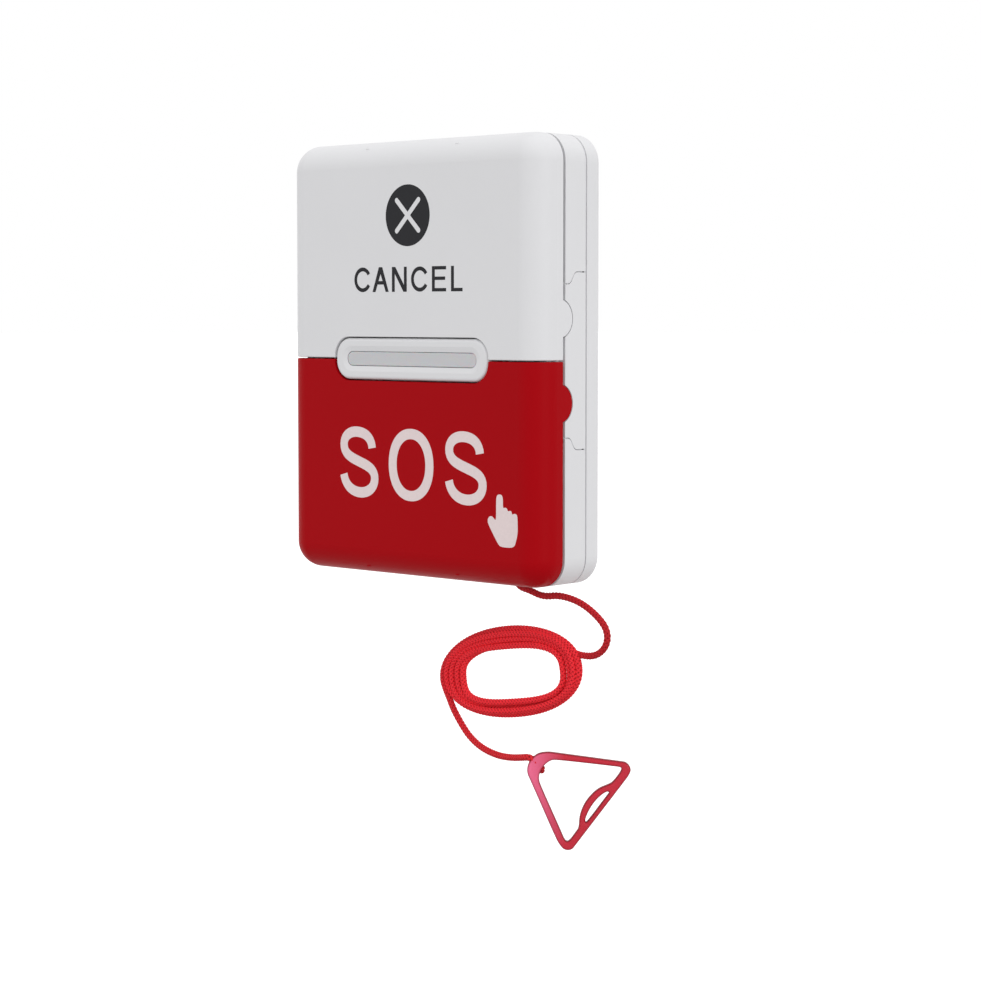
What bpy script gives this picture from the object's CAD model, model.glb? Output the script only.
import math

import bpy
import numpy as np
from mathutils import Matrix, Vector


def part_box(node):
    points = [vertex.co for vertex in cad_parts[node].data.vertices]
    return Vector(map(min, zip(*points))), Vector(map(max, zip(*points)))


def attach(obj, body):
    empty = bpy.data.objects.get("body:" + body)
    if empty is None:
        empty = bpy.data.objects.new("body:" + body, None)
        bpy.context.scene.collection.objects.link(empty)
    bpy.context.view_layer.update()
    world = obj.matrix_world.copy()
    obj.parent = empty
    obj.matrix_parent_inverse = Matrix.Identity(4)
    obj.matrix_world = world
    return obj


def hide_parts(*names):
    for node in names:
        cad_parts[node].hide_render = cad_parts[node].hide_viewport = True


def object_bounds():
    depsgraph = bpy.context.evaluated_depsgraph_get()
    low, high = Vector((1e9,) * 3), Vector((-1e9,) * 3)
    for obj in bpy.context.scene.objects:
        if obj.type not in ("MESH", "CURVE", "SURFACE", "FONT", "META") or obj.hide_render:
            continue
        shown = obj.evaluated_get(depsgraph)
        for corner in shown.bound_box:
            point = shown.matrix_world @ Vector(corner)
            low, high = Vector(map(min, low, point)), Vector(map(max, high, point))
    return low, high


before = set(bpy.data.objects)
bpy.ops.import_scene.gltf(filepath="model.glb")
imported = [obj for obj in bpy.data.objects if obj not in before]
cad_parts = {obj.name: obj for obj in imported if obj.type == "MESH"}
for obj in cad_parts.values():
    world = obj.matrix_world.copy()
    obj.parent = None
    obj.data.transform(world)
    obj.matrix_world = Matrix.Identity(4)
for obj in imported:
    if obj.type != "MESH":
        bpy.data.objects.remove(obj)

bl_info = {
    "name": "Wall call unit",
    "version": (1, 0, 0),
    "blender": (4, 5, 0),
    "location": "View3D > Sidebar > Call unit",
    "description": "Dresses a wall call unit with two rocking buttons, a light bar and a pull cord",
    "category": "Add Mesh",
}

CAD_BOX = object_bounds()
MM = 0.001

# The front plane of both buttons, which carries the printed marks
FACE_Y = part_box("cancel_button")[0].y

# Route of the cord's free stretches, in metres: out of the underside to the coil, and on to the handle
LEAD = [
    (0.02647, -0.0109, -0.05216), (0.02643, -0.0109, -0.05582), (0.02649, -0.0109, -0.05939),
    (0.02852, -0.0109, -0.06139), (0.03201, -0.0109, -0.06196), (0.0368, -0.0109, -0.06338),
    (0.04292, -0.0109, -0.06239), (0.05066, -0.0109, -0.06388), (0.05747, -0.0109, -0.0681),
    (0.05951, -0.0109, -0.07155), (0.05864, -0.0109, -0.07504), (0.0553, -0.0109, -0.0776),
]
ENTRY = [
    (0.04961, -0.0097, -0.0782), (0.04472, -0.009, -0.07746),
]
TAIL = [
    (0.00214, -0.0109, -0.09466), (0.00364, -0.01095, -0.09744), (0.00669, -0.0111, -0.1011),
    (0.01045, -0.0116, -0.10436), (0.01631, -0.013, -0.10655), (0.02435, -0.0155, -0.10725),
    (0.03117, -0.0175, -0.10674), (0.03666, -0.0192, -0.10575), (0.04013, -0.0202, -0.10505),
    (0.04126, -0.0198, -0.10578), (0.0425, -0.01835, -0.10796),
]
# The coil's line, in millimetres and degrees: its middle, its first and last angle and its number of steps
COIL_CENTRE = (24.75, -10.9, -85.0)
COIL_START, COIL_END, COIL_STEPS = 52, 4 * 360 + 196, 105
# Half width, half height, squareness, tilt and shift of the coil's outermost and innermost turns
OUTER_TURN = (25.7, 12.2, 2.01, 9.95, 0.0, 0.0)
INNER_TURN = (18.2, 6.9, 3.11, 9.0, 0.5, -0.85)
# The first stretch of the coil: how many turns it takes to reach the inside, where it enters between the
# outside (0) and the inside (1), and how far behind the other turns it runs
DIVE_TURNS, DIVE_ENTRY, DIVE_DEPTH = 0.35, 0.6, 1.95
# How much the turns crowd towards the outside
CROWDING = 0.1
# The braid in shares of the cord's diameter: the strands' middle line, how far they weave in and out, and
# the half width and half thickness of a flat strand
STRAND_RADIUS, STRAND_WAVE, STRAND_HALF_WIDTH, STRAND_HALF_THICKNESS = 0.385, 0.06, 0.225, 0.13
# Where the cord gets darker from handling, in UV units of the yarn of 1.15 mm each: from full to none along
# the lead, and from none to full along the tail
HANDLED_LEAD = (46.0, 60.0)
HANDLED_TAIL = (425.0, 440.0)
# Control points of the handle's outlines in its own upright plane, in millimetres
RING = [
    (24.4, -103.8), (41.3, -106.0), (43.0, -106.2), (44.3, -107.9), (43.7, -109.5), (42.8, -110.8),
    (29.5, -128.5), (28.5, -129.8), (26.5, -129.8), (25.3, -128.4), (24.2, -126.5), (17.6, -111.3),
    (16.5, -109.0), (16.9, -106.5), (19.1, -104.0), (22.0, -103.5),
]
FINGER_HOLE = [
    (24.5, -105.6), (40.2, -107.3), (41.6, -107.5), (41.6, -108.5), (39.4, -111.5), (38.1, -112.2),
    (35.1, -113.4), (32.0, -116.8), (30.5, -120.5), (30.4, -123.8), (29.7, -124.8), (28.0, -127.2),
    (27.1, -127.6), (26.4, -126.6), (25.6, -124.6), (20.5, -113.2), (19.7, -111.0), (20.0, -109.0),
    (21.0, -107.2), (22.9, -105.7),
]
RIB_HOLE = [
    (38.5, -114.3), (37.8, -113.9), (35.6, -115.5), (33.6, -118.0), (32.1, -121.1), (32.1, -122.5),
    (32.9, -121.8), (37.9, -115.0),
]
# Middle of the knot in the same plane
KNOT_PLACE = (20.45, 0, -108.3)
# The handle's gate corner along X, in millimetres: milky up to the first and clear from the second
MILKY_TO, CLEAR_FROM = 41.0, 48.0

# Left and right ends of the printed letters on the front plane, in millimetres
CANCEL_SPANS = ((-20.32, -14.21), (-13.16, -6.89), (-5.6, 0.07), (1.72, 7.8), (9.61, 14.88), (16.69, 20.91))
ALARM_SPANS = ((-26.26, -11.07), (-7.01, 10.06), (14.38, 29.64))
# Corners of the pointing hand on the front plane: finger, three knuckles, heel and thumb
HAND = [
    (33.06, -42.37), (33.06, -36.32), (33.44, -35.32), (34.28, -35.12), (35.12, -35.32), (35.47, -36.32),
    (35.47, -38.72), (36.39, -38.52), (36.99, -38.82), (37.24, -39.52), (38.04, -39.22), (38.54, -39.52),
    (38.74, -40.32), (39.54, -39.92), (40.59, -40.22), (40.74, -44.52), (40.39, -46.42), (39.44, -49.02),
    (34.54, -49.07), (33.44, -47.92), (30.04, -43.02), (30.04, -41.82), (30.84, -41.02), (31.74, -41.12),
]

# Soft boxes: place and side in metres, power in watts
LIGHTS = {
    "top light": ((0.25, -0.45, 1.5), 1.1, 1.0),
    "front light": ((-0.7, -1.8, 0.3), 1.2, 2.2),
    "side light": ((1.7, -0.35, 0.3), 1.0, 5.7),
}


def linear(code):
    """Linear colour from an sRGB hex code such as #C0C0C0."""
    channels = [int(code[k:k + 2], 16) / 255 for k in (1, 3, 5)]
    return tuple(c / 12.92 if c <= 0.04045 else ((c + 0.055) / 1.055) ** 2.4 for c in channels)


def colour_property(name, description, code):
    """Colour setting with a default from an sRGB hex code."""
    return bpy.props.FloatVectorProperty(
        name=name, description=description, default=linear(code), subtype="COLOR", min=0, max=1)


def length_property(name, description, millimetres):
    """Length setting with a default in millimetres."""
    return bpy.props.FloatProperty(
        name=name, description=description, default=millimetres * MM, min=0, unit="LENGTH")


class CallUnitColours(bpy.types.PropertyGroup):
    white_plastic: colour_property("White plastic", "Housing and cancel button", "#DEDEE0")
    red_plastic: colour_property("Red plastic", "Alarm button", "#A60610")
    lens: colour_property("Lens", "Frosted bar of the light", "#C4C4C7")
    dark_ink: colour_property("Dark ink", "Marks on the white button", "#28282B")
    pale_ink: colour_property("Pale ink", "Marks on the red button", "#E6D6D6")
    cord: colour_property("Cord", "Braided polyester of the pull cord", "#F8303A")
    handle: colour_property("Handle", "Tinted clear plastic of the pull handle", "#CC3242")
    handle_gate: colour_property("Handle corner", "Milky resin of the pull handle's thick corner", "#F8749A")
    handle_deep: colour_property("Handle edges", "Tinted resin seen through the ring's width", "#8C0A1C")


class CallUnitMarks(bpy.types.PropertyGroup):
    ink: length_property("Ink thickness", "How thick the printed marks are", 0.06)
    word_height: length_property("Cancel height", "Capital height of the word on the white button", 6.8)
    word_stroke: length_property("Cancel stroke", "Stroke width of the word on the white button", 1.06)
    word_z: length_property("Cancel level", "Middle of the word above the centre of the unit", 21.82)
    disc_radius: length_property("Disc radius", "Radius of the round cancel mark", 8.37)
    disc_x: length_property("Disc offset", "Middle of the round mark right of the centre", 0.42)
    disc_z: length_property("Disc level", "Middle of the round mark above the centre", 39.14)
    cross_reach: length_property("Cross reach", "Half the width of the cross in the round mark", 4.15)
    cross_stroke: length_property("Cross stroke", "Stroke width of the cross", 1.4)
    alarm_height: length_property("Alarm height", "Capital height of the letters on the red button", 19.8)
    alarm_stroke: length_property("Alarm stroke", "Stroke width of the letters on the red button", 2.9)
    alarm_depth: length_property("Alarm level", "Middle of the letters below the centre", 28.8)


class CallUnitCord(bpy.types.PropertyGroup):
    diameter: length_property("Cord diameter", "Outside diameter of the braid", 1.8)
    length: length_property("Cord length", "Length from the slider to the knot", 585.0)
    lay: length_property("Lay", "Length in which a strand goes once round the cord", 4.6)
    turns_across: bpy.props.FloatProperty(
        name="Turns across", description="How many turns the coil goes from its inside to its outside",
        default=4.05, min=1, max=8)
    handle_thickness: length_property("Handle thickness", "Thickness of the pull handle", 2.4)
    handle_edge: length_property("Handle edge", "Rounding of the pull handle's edges", 0.6)
    handle_offset: length_property("Handle offset", "Distance of the handle's plane from the origin", 41.5)
    handle_turn: bpy.props.FloatProperty(
        name="Handle turn", description="How far the handle's plane is turned away from the wall",
        default=math.radians(40.75), subtype="ANGLE")


class CallUnitStage(bpy.types.PropertyGroup):
    lens: bpy.props.FloatProperty(
        name="Focal length", description="Focal length on a 36 mm sensor", default=86.78, unit="CAMERA")
    azimuth: bpy.props.FloatProperty(
        name="Azimuth", description="How far the camera stands to the right of the front",
        default=math.radians(42.57), subtype="ANGLE")
    elevation: bpy.props.FloatProperty(
        name="Elevation", description="How far the camera looks down",
        default=math.radians(3.28), subtype="ANGLE")
    position: bpy.props.FloatVectorProperty(
        name="Camera position", description="Where the camera stands", default=(0.45327, -0.48518, 0.01211),
        subtype="TRANSLATION")
    shift: bpy.props.FloatProperty(
        name="Vertical shift", description="Camera shift as a share of the picture", default=-0.0408)
    floor_drop: length_property("Floor drop", "How far the floor lies under the handle", 60.0)
    floor_low: colour_property("Floor, darker", "Darker tone of the painted floor", "#B4B4B4")
    floor_high: colour_property("Floor, paler", "Paler tone of the painted floor", "#BABABA")
    floor_lift: bpy.props.FloatProperty(
        name="Floor lift", description="Light added to the floor where it is seen as the background",
        default=0.8, min=0)
    surround: bpy.props.FloatProperty(
        name="Surround", description="Strength of the plain light from all round", default=1.03, min=0)


def add_node(material, kind, settings=None, values=None, links=None):
    """Adds a node: settings are its own attributes, values its free sockets, links its linked ones."""
    node = material.node_tree.nodes.new(kind)
    for name, value in (settings or {}).items():
        setattr(node, name, value)
    for name, value in (values or {}).items():
        node.inputs[name].default_value = value
    for name, socket in (links or {}).items():
        material.node_tree.links.new(socket, node.inputs[name])
    return node


def new_material(name):
    """Empty node material."""
    material = bpy.data.materials.new(name)
    material.use_nodes = True
    material.node_tree.nodes.clear()
    return material


def finish_material(material, shader):
    """Sends the last shader to the output."""
    add_node(material, "ShaderNodeOutputMaterial", links={"Surface": shader.outputs[0]})
    return material


def per_metre(millimetres):
    """Noise scale whose features are about this size."""
    return 1 / (millimetres * MM)


def shaded(colour, share):
    """A colour made darker or lighter by a share, with full alpha."""
    return (*(min(1.0, c * share) for c in colour), 1.0)


def moulded_plastic(name, colour, roughness=0.45, grain=0.35, relief=0.012, drift=0.02, shine=0.3):
    """Injection-moulded plastic: a fine spark-eroded grain and a slight drift of tone and gloss."""
    material = new_material(name)
    place = add_node(material, "ShaderNodeTexCoord").outputs["Object"]
    cloud = add_node(material, "ShaderNodeTexNoise", values={"Scale": per_metre(28), "Detail": 3.0},
                     links={"Vector": place})
    fine = add_node(material, "ShaderNodeTexNoise", values={"Scale": per_metre(grain), "Detail": 4.0},
                    links={"Vector": place})
    tone = add_node(material, "ShaderNodeMix", {"data_type": "RGBA"},
                    {"A": shaded(colour, 1 - drift), "B": shaded(colour, 1 + drift)},
                    {"Factor": cloud.outputs["Fac"]})
    gloss = add_node(material, "ShaderNodeMapRange", values={
        "To Min": roughness - 0.05, "To Max": roughness + 0.05}, links={"Value": fine.outputs["Fac"]})
    bump = add_node(material, "ShaderNodeBump", values={"Strength": 0.35, "Distance": relief * MM},
                    links={"Height": fine.outputs["Fac"]})
    surface = add_node(material, "ShaderNodeBsdfPrincipled", values={
        "IOR": 1.53, "Specular IOR Level": shine}, links={
        "Base Color": tone.outputs["Result"], "Roughness": gloss.outputs["Result"],
        "Normal": bump.outputs["Normal"]})
    return finish_material(material, surface)


def worked_metal(name, colour, roughness, line, along):
    """Drawn, turned or rolled metal: fine lines that run along one axis."""
    material = new_material(name)
    place = add_node(material, "ShaderNodeTexCoord").outputs["Object"]
    stretch = [per_metre(line)] * 3
    stretch[along] = per_metre(line * 30)
    lines = add_node(material, "ShaderNodeMapping", values={"Scale": stretch}, links={"Vector": place})
    grain = add_node(material, "ShaderNodeTexNoise", values={"Scale": 1.0, "Detail": 2.0},
                     links={"Vector": lines.outputs["Vector"]})
    gloss = add_node(material, "ShaderNodeMapRange", values={
        "To Min": roughness - 0.08, "To Max": roughness + 0.1}, links={"Value": grain.outputs["Fac"]})
    tone = add_node(material, "ShaderNodeMix", {"data_type": "RGBA"},
                    {"A": shaded(colour, 0.9), "B": shaded(colour, 1.05)},
                    {"Factor": grain.outputs["Fac"]})
    surface = add_node(material, "ShaderNodeBsdfPrincipled", values={"Metallic": 1.0}, links={
        "Base Color": tone.outputs["Result"], "Roughness": gloss.outputs["Result"]})
    return finish_material(material, surface)


def frosted_lens(colour):
    """Frosted polycarbonate, moulded: light sinks in a little, so the grey bar has soft edges."""
    material = new_material("frosted polycarbonate, moulded")
    place = add_node(material, "ShaderNodeTexCoord").outputs["Object"]
    frost = add_node(material, "ShaderNodeTexNoise", values={"Scale": per_metre(0.25), "Detail": 3.0},
                     links={"Vector": place})
    tone = add_node(material, "ShaderNodeMix", {"data_type": "RGBA"},
                    {"A": shaded(colour, 0.95), "B": shaded(colour, 1.05)}, {"Factor": frost.outputs["Fac"]})
    bump = add_node(material, "ShaderNodeBump", values={"Strength": 0.3, "Distance": 0.01 * MM},
                    links={"Height": frost.outputs["Fac"]})
    surface = add_node(material, "ShaderNodeBsdfPrincipled", values={
        "IOR": 1.585, "Roughness": 0.38, "Subsurface Weight": 0.4, "Subsurface Scale": 0.8 * MM,
    }, links={"Base Color": tone.outputs["Result"], "Normal": bump.outputs["Normal"]})
    return finish_material(material, surface)


def printed_ink(name, colour):
    """Pad-printed ink: flat and a little matt, with the faint mottle of the pad."""
    material = new_material(name)
    place = add_node(material, "ShaderNodeTexCoord").outputs["Object"]
    mottle = add_node(material, "ShaderNodeTexNoise", values={"Scale": per_metre(0.7), "Detail": 4.0},
                      links={"Vector": place})
    tone = add_node(material, "ShaderNodeMix", {"data_type": "RGBA"},
                    {"A": shaded(colour, 0.94), "B": shaded(colour, 1.06)}, {"Factor": mottle.outputs["Fac"]})
    surface = add_node(material, "ShaderNodeBsdfPrincipled", values={
        "IOR": 1.48, "Roughness": 0.5, "Specular IOR Level": 0.12},
                       links={"Base Color": tone.outputs["Result"]})
    return finish_material(material, surface)


def braided_polyester(colour):
    """Braided polyester yarn: bright flat strands of filaments, dark where they dip between others."""
    material = new_material("polyester yarn, braided")
    yarn = add_node(material, "ShaderNodeTexCoord").outputs["UV"]
    place = add_node(material, "ShaderNodeTexCoord").outputs["Object"]
    filaments = add_node(material, "ShaderNodeTexWave", {"bands_direction": "X"},
                         {"Scale": 2.6, "Distortion": 2.0, "Detail": 2.0, "Detail Scale": 1.5},
                         {"Vector": yarn})
    patches = add_node(material, "ShaderNodeTexNoise", values={"Scale": per_metre(1.4), "Detail": 3.0},
                       links={"Vector": place})
    tone = add_node(material, "ShaderNodeMix", {"data_type": "RGBA"},
                    {"A": shaded(colour, 0.92), "B": shaded(colour, 1.12)},
                    {"Factor": patches.outputs["Fac"]})
    # The stretches outside the coil get handled, so they are a little darker
    along = add_node(material, "ShaderNodeSeparateXYZ", links={"Vector": yarn}).outputs["Y"]
    lead = add_node(material, "ShaderNodeMapRange", values={
        "From Min": HANDLED_LEAD[0], "From Max": HANDLED_LEAD[1], "To Min": 0.75, "To Max": 0.0,
    }, links={"Value": along})
    tail = add_node(material, "ShaderNodeMapRange", values={
        "From Min": HANDLED_TAIL[0], "From Max": HANDLED_TAIL[1], "To Min": 0.0, "To Max": 0.4,
    }, links={"Value": along})
    handled = add_node(material, "ShaderNodeMath", {"operation": "MAXIMUM"},
                       links={0: lead.outputs["Result"], 1: tail.outputs["Result"]})
    tone = add_node(material, "ShaderNodeMix", {"data_type": "RGBA"}, {"B": shaded(colour, 0.42)},
                    {"Factor": handled.outputs[0], "A": tone.outputs["Result"]})
    # The strand's top face lies at 0.3 across its section, and its sunk edges at 0 and 0.6
    across = add_node(material, "ShaderNodeSeparateXYZ", links={"Vector": yarn}).outputs["X"]
    offset = add_node(material, "ShaderNodeMath", {"operation": "SUBTRACT"}, {1: 0.3}, {0: across})
    from_top = add_node(material, "ShaderNodeMath", {"operation": "ABSOLUTE"}, links={0: offset.outputs[0]})
    sunk = add_node(material, "ShaderNodeMapRange", values={"From Min": 0.08, "From Max": 0.28},
                    links={"Value": from_top.outputs[0]})
    braided = add_node(material, "ShaderNodeMix", {"data_type": "RGBA"}, {"B": shaded(colour, 0.26)},
                    {"Factor": sunk.outputs["Result"], "A": tone.outputs["Result"]})
    bump = add_node(material, "ShaderNodeBump", values={"Strength": 0.5, "Distance": 0.03 * MM},
                    links={"Height": filaments.outputs["Fac"]})
    surface = add_node(material, "ShaderNodeBsdfPrincipled", values={
        "IOR": 1.5, "Roughness": 0.7, "Specular IOR Level": 0.15,
    }, links={"Base Color": braided.outputs["Result"], "Normal": bump.outputs["Normal"]})
    return finish_material(material, surface)


def tinted_clear(colour, gate_colour, deep_colour, turn):
    """Tinted polycarbonate, moulded as a flat ring: milky at the gate corner, deep along its edges."""
    material = new_material("tinted polycarbonate, moulded")
    place = add_node(material, "ShaderNodeTexCoord").outputs["Object"]
    flow = add_node(material, "ShaderNodeTexNoise", values={"Scale": per_metre(9), "Detail": 2.0},
                    links={"Vector": place})
    tone = add_node(material, "ShaderNodeMix", {"data_type": "RGBA"},
                    {"A": shaded(colour, 0.8), "B": shaded(colour, 1.2)}, {"Factor": flow.outputs["Fac"]})
    # The resin entered at the thick corner, where it stays a little milky
    sideways = add_node(material, "ShaderNodeSeparateXYZ", links={"Vector": place}).outputs["X"]
    milky = add_node(material, "ShaderNodeMapRange", values={
        "From Min": MILKY_TO * MM, "From Max": CLEAR_FROM * MM, "To Min": 1.0, "To Max": 0.0,
    }, links={"Value": sideways})
    body = add_node(material, "ShaderNodeMix", {"data_type": "RGBA"}, {"B": (*gate_colour, 1)},
                    {"Factor": milky.outputs["Result"], "A": tone.outputs["Result"]})
    # Behind the narrow sides and the rounded edges there is more tinted resin than behind the flat faces
    outward = add_node(material, "ShaderNodeTexCoord").outputs["Normal"]
    level = add_node(material, "ShaderNodeVectorMath", {"operation": "DOT_PRODUCT"},
                     {1: (math.sin(turn), -math.cos(turn), 0)}, {0: outward})
    flatness = add_node(material, "ShaderNodeMath", {"operation": "ABSOLUTE"},
                        links={0: level.outputs["Value"]})
    edges = add_node(material, "ShaderNodeMapRange", values={"From Min": 0.97, "From Max": 0.45},
                     links={"Value": flatness.outputs[0]})
    deep = add_node(material, "ShaderNodeMix", {"data_type": "RGBA"}, {"B": (*deep_colour, 1)},
                    {"Factor": edges.outputs["Result"], "A": body.outputs["Result"]})
    bump = add_node(material, "ShaderNodeBump", values={"Strength": 0.15, "Distance": 0.05 * MM},
                    links={"Height": flow.outputs["Fac"]})
    surface = add_node(material, "ShaderNodeBsdfPrincipled", values={
        "IOR": 1.585, "Roughness": 0.3, "Transmission Weight": 0.1, "Specular IOR Level": 0.06,
    }, links={"Base Color": deep.outputs["Result"], "Normal": bump.outputs["Normal"]})
    return finish_material(material, surface)


def solder_mask():
    """Glass-epoxy laminate under green solder mask, with paler tracks that show through."""
    material = new_material("glass epoxy board, solder masked")
    place = add_node(material, "ShaderNodeTexCoord").outputs["Object"]
    tracks = add_node(material, "ShaderNodeTexVoronoi", {"distance": "MANHATTAN", "feature": "F1"},
                      {"Scale": per_metre(3.2)}, {"Vector": place})
    edge = add_node(material, "ShaderNodeMath", {"operation": "GREATER_THAN"}, {1: 0.52},
                    {0: tracks.outputs["Distance"]})
    tone = add_node(material, "ShaderNodeMix", {"data_type": "RGBA"},
                    {"A": (*linear("#0E4A2A"), 1), "B": (*linear("#1B6B3C"), 1)}, {"Factor": edge.outputs[0]})
    surface = add_node(material, "ShaderNodeBsdfPrincipled", values={"IOR": 1.55, "Roughness": 0.3},
                       links={"Base Color": tone.outputs["Result"]})
    return finish_material(material, surface)


def dress(material, *nodes):
    """Gives CAD nodes a material."""
    for name in nodes:
        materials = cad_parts[name].data.materials
        materials.clear()
        materials.append(material)


def place_piece(name, mesh, material, body):
    """Puts a finished mesh into the scene as a piece that rides on a body."""
    mesh.materials.clear()
    mesh.materials.append(material)
    piece = bpy.data.objects.new(name, mesh)
    bpy.context.scene.collection.objects.link(piece)
    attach(piece, body)
    return piece


def arc(x, z, half_width, half_height, start, end, steps=24):
    """Points on an elliptical arc, from one angle to another in degrees."""
    angles = [math.radians(start + (end - start) * k / steps) for k in range(steps + 1)]
    return [(x + half_width * math.cos(a), z + half_height * math.sin(a)) for a in angles]


def oval(x, z, half_width, half_height, fullness=2.0, steps=64):
    """Closed superellipse: a fullness of 2 is an ellipse, and more is squarer."""
    points = []
    for k in range(steps):
        turn = 2 * math.pi * k / steps
        c, s = math.cos(turn), math.sin(turn)
        points.append((x + half_width * math.copysign(abs(c) ** (2 / fullness), c),
                       z + half_height * math.copysign(abs(s) ** (2 / fullness), s)))
    return points


def stroke(line, width):
    """Closed outline of a pen stroke of one width along a line of points."""
    left, right = [], []
    for k, (x, z) in enumerate(line):
        (x0, z0), (x1, z1) = line[max(0, k - 1)], line[min(len(line) - 1, k + 1)]
        run = math.hypot(x1 - x0, z1 - z0)
        nx, nz = -(z1 - z0) / run * width / 2, (x1 - x0) / run * width / 2
        left.append((x + nx, z + nz))
        right.append((x - nx, z - nz))
    return left + right[::-1]


# Letters as closed outlines about their own middle, from width, height and stroke in millimetres
def letter_c(w, h, t):
    opening = 31
    half_w = (w - 0.9 * t) / (1 + math.cos(math.radians(opening)))
    return [stroke(arc(-w / 2 + t / 2 + half_w, 0, half_w, (h - t) / 2, opening, 360 - opening, 40), t)]


def letter_a(w, h, t):
    foot, top, peak = 1.08 * t, 0.62 * t, h / 2 - 1.75 * t
    low, high = -0.2 * h, -0.2 * h + 0.9 * t

    def inner(z):
        return (w / 2 - foot) * (peak - z) / (peak + h / 2)

    outside = [(-w / 2, -h / 2), (-w / 2 + foot, -h / 2), (-inner(low), low), (inner(low), low),
               (w / 2 - foot, -h / 2), (w / 2, -h / 2), (top, h / 2), (-top, h / 2)]
    return [outside, [(-inner(high), high), (inner(high), high), (0, peak)]]


def letter_n(w, h, t):
    a, b, shoulder, drop = w / 2, h / 2, 1.2 * t, 1.75 * t
    return [[(-a, -b), (-a, b), (-a + shoulder, b), (a - t, -b + drop), (a - t, b), (a, b), (a, -b),
             (a - shoulder, -b), (-a + t, b - drop), (-a + t, -b)]]


def letter_e(w, h, t):
    a, b, bar, middle = w / 2, h / 2, 0.86 * t, 0.02 * h
    return [[(-a, -b), (-a, b), (a, b), (a, b - bar), (-a + t, b - bar), (-a + t, middle + bar / 2),
             (a * 0.86, middle + bar / 2), (a * 0.86, middle - bar / 2), (-a + t, middle - bar / 2),
             (-a + t, -b + bar), (a, -b + bar), (a, -b)]]


def letter_l(w, h, t):
    a, b, bar = w / 2, h / 2, 0.86 * t
    return [[(-a, -b), (-a, b), (-a + t, b), (-a + t, -b + bar), (a, -b + bar), (a, -b)]]


def letter_o(w, h, t):
    return [oval(0, 0, w / 2, h / 2, 2.15), oval(0, 0, w / 2 - 1.05 * t, h / 2 - 0.97 * t, 2.1)]


def letter_s(w, h, t):
    knots = ((0.84, 0.48), (0.8, 0.84), (0.36, 1.0), (-0.17, 1.0), (-0.62, 1.0), (-0.98, 0.84), (-0.98, 0.57),
             (-0.98, 0.24), (-0.52, 0.14), (0.0, 0.02), (0.52, -0.1), (1.0, -0.19), (1.0, -0.51),
             (1.0, -0.8), (0.62, -1.0), (0.1, -1.0), (-0.45, -1.0), (-0.9, -0.8), (-1.0, -0.42))
    line = bezier_line([(x * (w - t) / 2, z * (h - t) / 2) for x, z in knots])
    return [stroke(line, t)]


def bezier_line(knots, steps=10):
    """Points along a chain of cubic curves that share their end points."""
    points = [knots[0]]
    for start in range(0, len(knots) - 1, 3):
        a, b, c, d = knots[start:start + 4]
        for k in range(1, steps + 1):
            t = k / steps
            u = 1 - t
            points.append(tuple(u ** 3 * a[n] + 3 * u * u * t * b[n] + 3 * u * t * t * c[n] + t ** 3 * d[n]
                                for n in (0, 1)))
    return points


def softened(loop, rounds=2):
    """Closed outline with its corners cut back and back again."""
    for _ in range(rounds):
        cut = []
        for (x0, z0), (x1, z1) in zip(loop, loop[1:] + loop[:1]):
            cut += [(0.8 * x0 + 0.2 * x1, 0.8 * z0 + 0.2 * z1), (0.2 * x0 + 0.8 * x1, 0.2 * z0 + 0.8 * z1)]
        loop = cut
    return loop


def in_millimetres(*lengths):
    """Lengths in millimetres from settings in metres."""
    return [length / MM for length in lengths]


def flat_shape(loops, x, z, ink):
    """Filled mesh on the front plane from closed outlines in millimetres, inner ones left open."""
    curve = bpy.data.curves.new("outline", "CURVE")
    curve.dimensions, curve.fill_mode, curve.extrude = "2D", "BOTH", ink / 2
    for loop in loops:
        spline = curve.splines.new("POLY")
        spline.points.add(len(loop) - 1)
        for point, (px, pz) in zip(spline.points, loop):
            point.co = ((px + x) * MM, (pz + z) * MM, 0, 1)
        spline.use_cyclic_u = True
    helper = bpy.data.objects.new("outline", curve)
    mesh = bpy.data.meshes.new_from_object(helper)
    mesh.transform(Matrix.Translation((0, FACE_Y, 0)) @ Matrix.Rotation(math.radians(90), 4, "X"))
    bpy.data.objects.remove(helper)
    bpy.data.curves.remove(curve)
    return mesh


class CALLUNIT_OT_housing(bpy.types.Operator):
    """Finishes the shells, the pivot carrier and both buttons"""
    bl_idname = "callunit.housing"
    bl_label = "Housing and buttons"

    def execute(self, context):
        colours = context.scene.call_unit_colours
        # Satin white ABS with a fine eroded grain: soft broad highlights, no sharp reflection
        white = moulded_plastic("white ABS, moulded satin", colours.white_plastic, shine=0.25)
        dress(white, "rear_shell", "mid_frame", "pivot_carrier", "cancel_button", "light_bezel")
        # The red button has the same grain in a deep signal red
        red = moulded_plastic("red ABS, moulded satin", colours.red_plastic, roughness=0.4, shine=0.035)
        dress(red, "sos_button")
        return {"FINISHED"}


class CALLUNIT_OT_light_bar(bpy.types.Operator):
    """Finishes the light bar and its diodes"""
    bl_idname = "callunit.light_bar"
    bl_label = "Light bar"

    def execute(self, context):
        dress(frosted_lens(context.scene.call_unit_colours.lens), "light_lens")
        dress(moulded_plastic("clear epoxy resin, cast", linear("#E6E2C8"), roughness=0.15), "status_leds")
        return {"FINISHED"}


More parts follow.
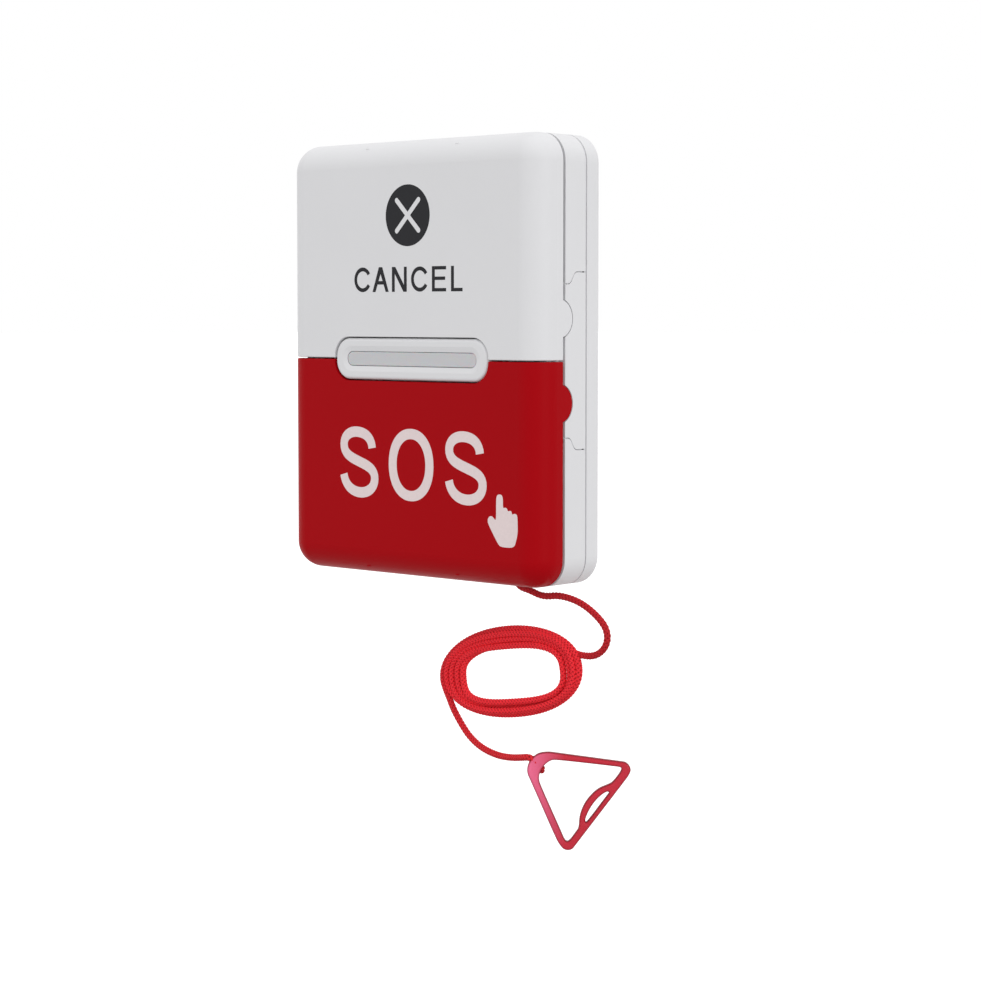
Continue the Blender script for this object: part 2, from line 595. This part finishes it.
class CALLUNIT_OT_marks(bpy.types.Operator):
    """Prints the function marks on both buttons"""
    bl_idname = "callunit.marks"
    bl_label = "Printed marks"

    def execute(self, context):
        marks = context.scene.call_unit_marks
        colours = context.scene.call_unit_colours
        dark = printed_ink("dark ink, pad printed", colours.dark_ink)
        pale = printed_ink("pale ink, pad printed", colours.pale_ink)
        height, thick, level = in_millimetres(marks.word_height, marks.word_stroke, marks.word_z)
        word = (letter_c, letter_a, letter_n, letter_c, letter_e, letter_l)
        for k, (letter, (x0, x1)) in enumerate(zip(word, CANCEL_SPANS)):
            mesh = flat_shape(letter(x1 - x0, height, thick), (x0 + x1) / 2, level, marks.ink)
            place_piece(f"cancel_letter_{k + 1}", mesh, dark, "cancel_rocker")
        self.print_disc(marks, dark)
        height, thick, depth = in_millimetres(marks.alarm_height, marks.alarm_stroke, marks.alarm_depth)
        for k, (letter, (x0, x1)) in enumerate(zip((letter_s, letter_o, letter_s), ALARM_SPANS)):
            mesh = flat_shape(letter(x1 - x0, height, thick), (x0 + x1) / 2, -depth, marks.ink)
            place_piece(f"alarm_letter_{k + 1}", mesh, pale, "sos_rocker")
        mesh = flat_shape([softened(HAND)], 0, 0, marks.ink)
        place_piece("alarm_hand", mesh, pale, "sos_rocker")
        return {"FINISHED"}

    def print_disc(self, marks, ink):
        """Round dark mark with a cross left open in it."""
        reach, width, radius = in_millimetres(marks.cross_reach, marks.cross_stroke, marks.disc_radius)
        half = width / 2
        tip = math.hypot(reach, reach)
        cross = []
        for k in range(4):
            turn = 45 + 90 * k
            c, s = math.cos(math.radians(turn)), math.sin(math.radians(turn))
            cross.append((math.hypot(half, half) * math.cos(math.radians(turn - 45)),
                          math.hypot(half, half) * math.sin(math.radians(turn - 45))))
            cross += arc(tip * c, tip * s, half, half, turn - 90, turn + 90, 8)
        right, up = in_millimetres(marks.disc_x, marks.disc_z)
        mesh = flat_shape([oval(0, 0, radius, radius), cross], right, up, marks.ink)
        place_piece("cancel_disc", mesh, ink, "cancel_rocker")


def coil_points(turns_across):
    """The coil's turns, wound from the inside out over a squarish oval that is tilted a little."""
    centre = Vector(COIL_CENTRE) * MM
    first, last = math.radians(COIL_START), math.radians(COIL_END)
    points = []
    for k in range(COIL_STEPS + 1):
        angle = first + (last - first) * k / COIL_STEPS
        turned = (angle - first) / (2 * math.pi)
        # The first stretch runs behind the other turns to the inside, and from there the coil works out
        dive = min(1.0, turned / DIVE_TURNS)
        dive *= dive * (3 - 2 * dive)
        out = min(1.0, max(0.0, turned - DIVE_TURNS) / turns_across)
        if turned < DIVE_TURNS:
            share = DIVE_ENTRY + (1 - DIVE_ENTRY) * dive
        else:
            share = max(0.0, 1 - out * (1 + CROWDING * math.sin(math.pi * out)))
        half_w, half_h, squareness, tilt, right, up = (
            outer + (inner - outer) * share for outer, inner in zip(OUTER_TURN, INNER_TURN))
        tilt = math.radians(tilt)
        c, s = math.cos(angle), math.sin(angle)
        x = half_w * math.copysign(abs(c) ** (2 / squareness), c) + right
        z = half_h * math.copysign(abs(s) ** (2 / squareness), s) + up
        # Neighbouring turns lie one in front and one behind, most where they crowd at the bottom
        weave = max(-1.0, min(1.0, 1.7 * math.cos(angle / 2))) * (0.25 + 0.5 * max(0.0, -s))
        y = weave * dive + DIVE_DEPTH * (1 - dive)
        points.append(centre + Vector((x * math.cos(tilt) - z * math.sin(tilt), y,
                                       x * math.sin(tilt) + z * math.cos(tilt))) * MM)
    return points


def carried_frames(points):
    """Unit tangents and side vectors along a line, turned no more than the line itself turns."""
    tangents = np.gradient(points, axis=0)
    tangents /= np.linalg.norm(tangents, axis=1)[:, None]
    side = np.cross(tangents[0], (0.0, 1.0, 0.0))
    sides = []
    for tangent in tangents:
        side = side - tangent * (side @ tangent)
        side /= np.linalg.norm(side)
        sides.append(side)
    sides = np.array(sides)
    return tangents, sides, np.cross(tangents, sides)


def even_points(points, spacing):
    """The same line with points at an even spacing."""
    steps = np.linalg.norm(np.diff(points, axis=0), axis=1)
    distance = np.concatenate([[0.0], np.cumsum(steps)])
    count = int(distance[-1] / spacing) + 1
    wanted = np.linspace(0, distance[-1], count)
    return np.stack([np.interp(wanted, distance, points[:, k]) for k in range(3)], axis=1), wanted


def tube_parts(rings):
    """Vertices, faces and UVs of a closed tube from an array of rings."""
    count, sides = rings.shape[:2]
    faces = []
    for i in range(count - 1):
        for k in range(sides):
            n = (k + 1) % sides
            faces.append((i * sides + k, i * sides + n, (i + 1) * sides + n, (i + 1) * sides + k))
    faces.append(tuple(range(sides))[::-1])
    faces.append(tuple((count - 1) * sides + k for k in range(sides)))
    uvs = np.stack(np.meshgrid(np.arange(count) * 0.25, np.arange(sides) / sides, indexing="ij"), axis=-1)
    return rings.reshape(-1, 3), faces, uvs[..., ::-1].reshape(-1, 2)


def braid_mesh(name, line, diameter, lay):
    """Braid of eight flat strands, four each way, over a round core."""
    points, distance = even_points(line, lay / 16)
    tangents, sides, ups = carried_frames(points)
    radius, wave = diameter * STRAND_RADIUS, diameter * STRAND_WAVE
    half_wide, half_thick = diameter * STRAND_HALF_WIDTH, diameter * STRAND_HALF_THICKNESS
    section = ((-1.0, -0.4), (-0.55, 0.7), (0.55, 0.7), (1.0, -0.4), (0.0, -1.0))
    tubes = []
    for hand in (1, -1):
        for strand in range(4):
            angle = math.pi / 2 * strand + hand * 2 * math.pi * distance / lay
            out = np.cos(angle)[:, None] * sides + np.sin(angle)[:, None] * ups
            around = -np.sin(angle)[:, None] * sides + np.cos(angle)[:, None] * ups
            reach = radius + hand * wave * np.cos(8 * math.pi * distance / lay)
            middle = points + out * reach[:, None]
            along = tangents + hand * around * (2 * math.pi * radius / lay)
            along /= np.linalg.norm(along, axis=1)[:, None]
            across = np.cross(out, along)
            ring = [middle + across * (a * half_wide) + out * (b * half_thick) for a, b in section]
            tubes.append(tube_parts(np.stack(ring, axis=1)))
    core = [points[::2] + (sides[::2] * math.cos(a) + ups[::2] * math.sin(a)) * (radius * 0.9)
            for a in (math.pi / 3 * k for k in range(6))]
    tubes.append(tube_parts(np.stack(core, axis=1)))
    return join_tubes(name, tubes)


def join_tubes(name, tubes):
    """One mesh with UVs out of several tubes."""
    mesh = bpy.data.meshes.new(name)
    offset, faces = 0, []
    for vertices, some, _ in tubes:
        faces += [tuple(v + offset for v in face) for face in some]
        offset += len(vertices)
    mesh.from_pydata(np.concatenate([t[0] for t in tubes]).tolist(), [], faces)
    uvs = np.concatenate([t[2] for t in tubes])
    layer = mesh.uv_layers.new(name="yarn")
    corners = np.zeros(len(mesh.loops), np.int32)
    mesh.loops.foreach_get("vertex_index", corners)
    layer.data.foreach_set("uv", uvs[corners].astype(np.float32).ravel())
    mesh.shade_smooth()
    mesh.validate()
    return mesh


def smooth_line(points, resolution):
    """Points read from the smooth spline whose control points are given."""
    curve = bpy.data.curves.new("route", "CURVE")
    curve.dimensions, curve.resolution_u = "3D", resolution
    spline = curve.splines.new("NURBS")
    spline.points.add(len(points) - 1)
    for point, place in zip(spline.points, points):
        point.co = (*place, 1)
    spline.order_u = 3
    spline.use_endpoint_u = True
    helper = bpy.data.objects.new("route", curve)
    mesh = bpy.data.meshes.new_from_object(helper)
    line = np.array([v.co for v in mesh.vertices], float)
    bpy.data.objects.remove(helper)
    bpy.data.curves.remove(curve)
    bpy.data.meshes.remove(mesh)
    return line


def handle_mesh(settings):
    """Flat ring with rounded edges from the handle's three outlines, turned away from the wall."""
    curve = bpy.data.curves.new("ring", "CURVE")
    curve.dimensions, curve.fill_mode, curve.resolution_u = "2D", "BOTH", 6
    curve.extrude = settings.handle_thickness / 2 - settings.handle_edge
    curve.bevel_depth, curve.bevel_resolution, curve.offset = settings.handle_edge, 2, -settings.handle_edge
    for loop in (RING, FINGER_HOLE, RIB_HOLE):
        spline = curve.splines.new("NURBS")
        spline.points.add(len(loop) - 1)
        for point, (u, z) in zip(spline.points, loop):
            point.co = (u * MM, z * MM, 0, 1)
        spline.use_cyclic_u = True
        spline.order_u = 3
    helper = bpy.data.objects.new("ring", curve)
    mesh = bpy.data.meshes.new_from_object(helper)
    mesh.transform(turned_plane(settings) @ Matrix.Rotation(math.radians(90), 4, "X"))
    mesh.set_sharp_from_angle(angle=math.radians(40))
    bpy.data.objects.remove(helper)
    bpy.data.curves.remove(curve)
    return mesh


def turned_plane(settings):
    """Placement of the handle's own upright plane."""
    return Matrix.Rotation(settings.handle_turn, 4, "Z") @ Matrix.Translation((0, -settings.handle_offset, 0))


class CALLUNIT_OT_pull_cord(bpy.types.Operator):
    """Makes the braided pull cord with its coil, its knot and the pull handle"""
    bl_idname = "callunit.pull_cord"
    bl_label = "Pull cord and handle"

    def execute(self, context):
        settings = context.scene.call_unit_cord
        colours = context.scene.call_unit_colours
        yarn = braided_polyester(colours.cord)
        resin = tinted_clear(colours.handle, colours.handle_gate, colours.handle_deep, settings.handle_turn)
        handle = place_piece("pull_handle_ring", handle_mesh(settings), resin, "pull_cord")
        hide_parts("pull_handle")
        knot = self.tie_knot(settings, yarn)
        line = smooth_line(LEAD + ENTRY + coil_points(settings.turns_across) + TAIL, 12)
        mesh = braid_mesh("pull_cord_braid", line, settings.diameter, settings.lay)
        cord = place_piece("pull_cord_braid", mesh, yarn, "pull_cord")
        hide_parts("cord_lead", "cord_coil", "cord_tail")
        return {"FINISHED"}

    def tie_knot(self, settings, yarn):
        """Small overhand knot behind the handle's thick corner, with a few loose strands."""
        centre = turned_plane(settings) @ (Vector(KNOT_PLACE) * MM)
        size = settings.diameter * 0.3
        line = []
        for k in range(61):
            t = 2 * math.pi * k / 60
            line.append(centre + size * Vector(((math.sin(t) + 2 * math.sin(2 * t)) / 2.4,
                                                -math.sin(3 * t) * 0.7,
                                                (math.cos(t) - 2 * math.cos(2 * t)) / 2.4)))
        mesh = braid_mesh("cord_knot_tied", np.array(line), settings.diameter * 0.5, settings.lay * 0.6)
        piece = place_piece("cord_knot_tied", mesh, yarn, "pull_cord")
        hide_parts("cord_knot")
        return piece


class CALLUNIT_OT_inside(bpy.types.Operator):
    """Finishes the pieces inside the housing"""
    bl_idname = "callunit.inside"
    bl_label = "Inner pieces"

    def execute(self, context):
        colours = context.scene.call_unit_colours
        dress(solder_mask(), "circuit_board")
        # Zinc-plated steel: pale and slightly blue, with fine drawing lines
        zinc = worked_metal("zinc-plated steel, drawn", linear("#B9BCC2"), 0.34, 0.12, 1)
        dress(zinc, "board_screws", "housing_screws", "pull_spring", "cancel_pin_left", "cancel_pin_right",
              "sos_pin_left", "sos_pin_right")
        nickel = worked_metal("nickel sheet, stamped", linear("#C9C3B6"), 0.3, 0.2, 0)
        dress(nickel, "battery_contacts", "radio_module")
        dress(worked_metal("brass strip, stamped", linear("#C8A24E"), 0.28, 0.15, 2), "antenna")
        dress(moulded_plastic("black nylon, moulded", linear("#1E1E20"), roughness=0.5),
              "cancel_switch", "sos_switch", "battery_holder", "pull_switch")
        dress(moulded_plastic("natural nylon, moulded", linear("#E4E2DA"), roughness=0.4),
              "cord_bush", "pull_slider", "pull_plunger", "cancel_plunger")
        dress(moulded_plastic("red nylon, moulded", colours.red_plastic, roughness=0.45), "sos_plunger")
        dress(moulded_plastic("cell jacket, shrink film", linear("#2C3A48"), roughness=0.25), "battery_cells")
        dress(moulded_plastic("silicone rubber, moulded", linear("#2A2A2C"), roughness=0.75), "gasket")
        return {"FINISHED"}


class CALLUNIT_OT_stage(bpy.types.Operator):
    """Sets up the pale floor, the soft lights, the white background and the camera"""
    bl_idname = "callunit.stage"
    bl_label = "Stage"

    def execute(self, context):
        scene, settings = context.scene, context.scene.call_unit_stage
        scene.view_settings.view_transform = "Standard"
        self.lay_floor(settings)
        self.set_world(scene, settings)
        for name, (place, size, power) in LIGHTS.items():
            self.hang_light(name, place, size, power)
        camera = bpy.data.cameras.new("camera")
        camera.lens, camera.sensor_width, camera.shift_y = settings.lens, 36.0, settings.shift
        camera.clip_start, camera.clip_end = 0.01, 50.0
        holder = bpy.data.objects.new("camera", camera)
        holder.location = settings.position
        holder.rotation_euler = (math.pi / 2 - settings.elevation, 0, settings.azimuth)
        scene.collection.objects.link(holder)
        scene.camera = holder
        return {"FINISHED"}

    def backdrop_rays(self, material):
        """Socket that is 1 for rays that see the backdrop directly, in a reflection or through glass."""
        rays = add_node(material, "ShaderNodeLightPath").outputs
        some = add_node(material, "ShaderNodeMath", {"operation": "MAXIMUM"},
                        links={0: rays["Is Camera Ray"], 1: rays["Is Glossy Ray"]})
        return add_node(material, "ShaderNodeMath", {"operation": "MAXIMUM"},
                        links={0: some.outputs[0], 1: rays["Is Transmission Ray"]}).outputs[0]

    def lay_floor(self, settings):
        """Pale painted floor that keeps the shadow and looks white where it is lit."""
        material = new_material("pale painted floor")
        seen = self.backdrop_rays(material)
        place = add_node(material, "ShaderNodeTexCoord").outputs["Object"]
        mottle = add_node(material, "ShaderNodeTexNoise", values={"Scale": 3.0, "Detail": 4.0},
                          links={"Vector": place})
        tone = add_node(material, "ShaderNodeMix", {"data_type": "RGBA"},
                        {"A": (*settings.floor_low, 1), "B": (*settings.floor_high, 1)},
                        {"Factor": mottle.outputs["Fac"]})
        paint = add_node(material, "ShaderNodeBsdfDiffuse", links={"Color": tone.outputs["Result"]})
        lift = add_node(material, "ShaderNodeMath", {"operation": "MULTIPLY"},
                        {1: settings.floor_lift}, {0: seen})
        glow = add_node(material, "ShaderNodeEmission", links={"Strength": lift.outputs[0]})
        both = add_node(material, "ShaderNodeAddShader", links={0: paint.outputs[0], 1: glow.outputs[0]})
        finish_material(material, both)
        mesh = bpy.data.meshes.new("floor")
        half, level = 20.0, CAD_BOX[0].z - settings.floor_drop
        corners = [(-half, -half, level), (half, -half, level), (half, half, level), (-half, half, level)]
        mesh.from_pydata(corners, [], [(0, 1, 2, 3)])
        mesh.materials.append(material)
        floor = bpy.data.objects.new("floor", mesh)
        bpy.context.scene.collection.objects.link(floor)

    def set_world(self, scene, settings):
        """White seen directly, and a plain soft level of light on the object."""
        world = bpy.data.worlds.new("studio")
        world.use_nodes = True
        world.node_tree.nodes.clear()
        seen = self.backdrop_rays(world)
        level = add_node(world, "ShaderNodeMapRange", values={"To Min": settings.surround, "To Max": 1.0},
                         links={"Value": seen})
        sky = add_node(world, "ShaderNodeBackground", values={"Color": (1, 1, 1, 1)},
                       links={"Strength": level.outputs["Result"]})
        add_node(world, "ShaderNodeOutputWorld", links={"Surface": sky.outputs[0]})
        scene.world = world

    def hang_light(self, name, place, size, power):
        """Square soft box that faces the unit."""
        light = bpy.data.lights.new(name, "AREA")
        light.size, light.energy = size, power
        holder = bpy.data.objects.new(name, light)
        holder.location = place
        aim = Vector((0, 0, -0.03)) - Vector(place)
        holder.rotation_euler = aim.to_track_quat("-Z", "Y").to_euler()
        bpy.context.scene.collection.objects.link(holder)


OPERATORS = (CALLUNIT_OT_stage, CALLUNIT_OT_housing, CALLUNIT_OT_light_bar, CALLUNIT_OT_marks,
             CALLUNIT_OT_pull_cord, CALLUNIT_OT_inside)
GROUPS = {
    "call_unit_colours": CallUnitColours,
    "call_unit_marks": CallUnitMarks,
    "call_unit_cord": CallUnitCord,
    "call_unit_stage": CallUnitStage,
}


class CALLUNIT_PT_panel(bpy.types.Panel):
    """Lists the steps that dress the unit, with their settings"""
    bl_idname = "CALLUNIT_PT_panel"
    bl_label = "Call unit"
    bl_space_type = "VIEW_3D"
    bl_region_type = "UI"
    bl_category = "Call unit"

    def draw(self, context):
        for name, group in GROUPS.items():
            box = self.layout.box()
            for field in group.__annotations__:
                box.prop(getattr(context.scene, name), field)
        for operator in OPERATORS:
            self.layout.operator(operator.bl_idname)


def register():
    for cls in (*GROUPS.values(), *OPERATORS, CALLUNIT_PT_panel):
        bpy.utils.register_class(cls)
    for name, group in GROUPS.items():
        setattr(bpy.types.Scene, name, bpy.props.PointerProperty(type=group))


def unregister():
    for name in GROUPS:
        delattr(bpy.types.Scene, name)
    for cls in reversed((*GROUPS.values(), *OPERATORS, CALLUNIT_PT_panel)):
        bpy.utils.unregister_class(cls)


def main():
    register()
    bpy.ops.callunit.stage()
    bpy.ops.callunit.housing()
    bpy.ops.callunit.light_bar()
    bpy.ops.callunit.marks()
    bpy.ops.callunit.pull_cord()
    bpy.ops.callunit.inside()


if __name__ == "__main__":
    main()
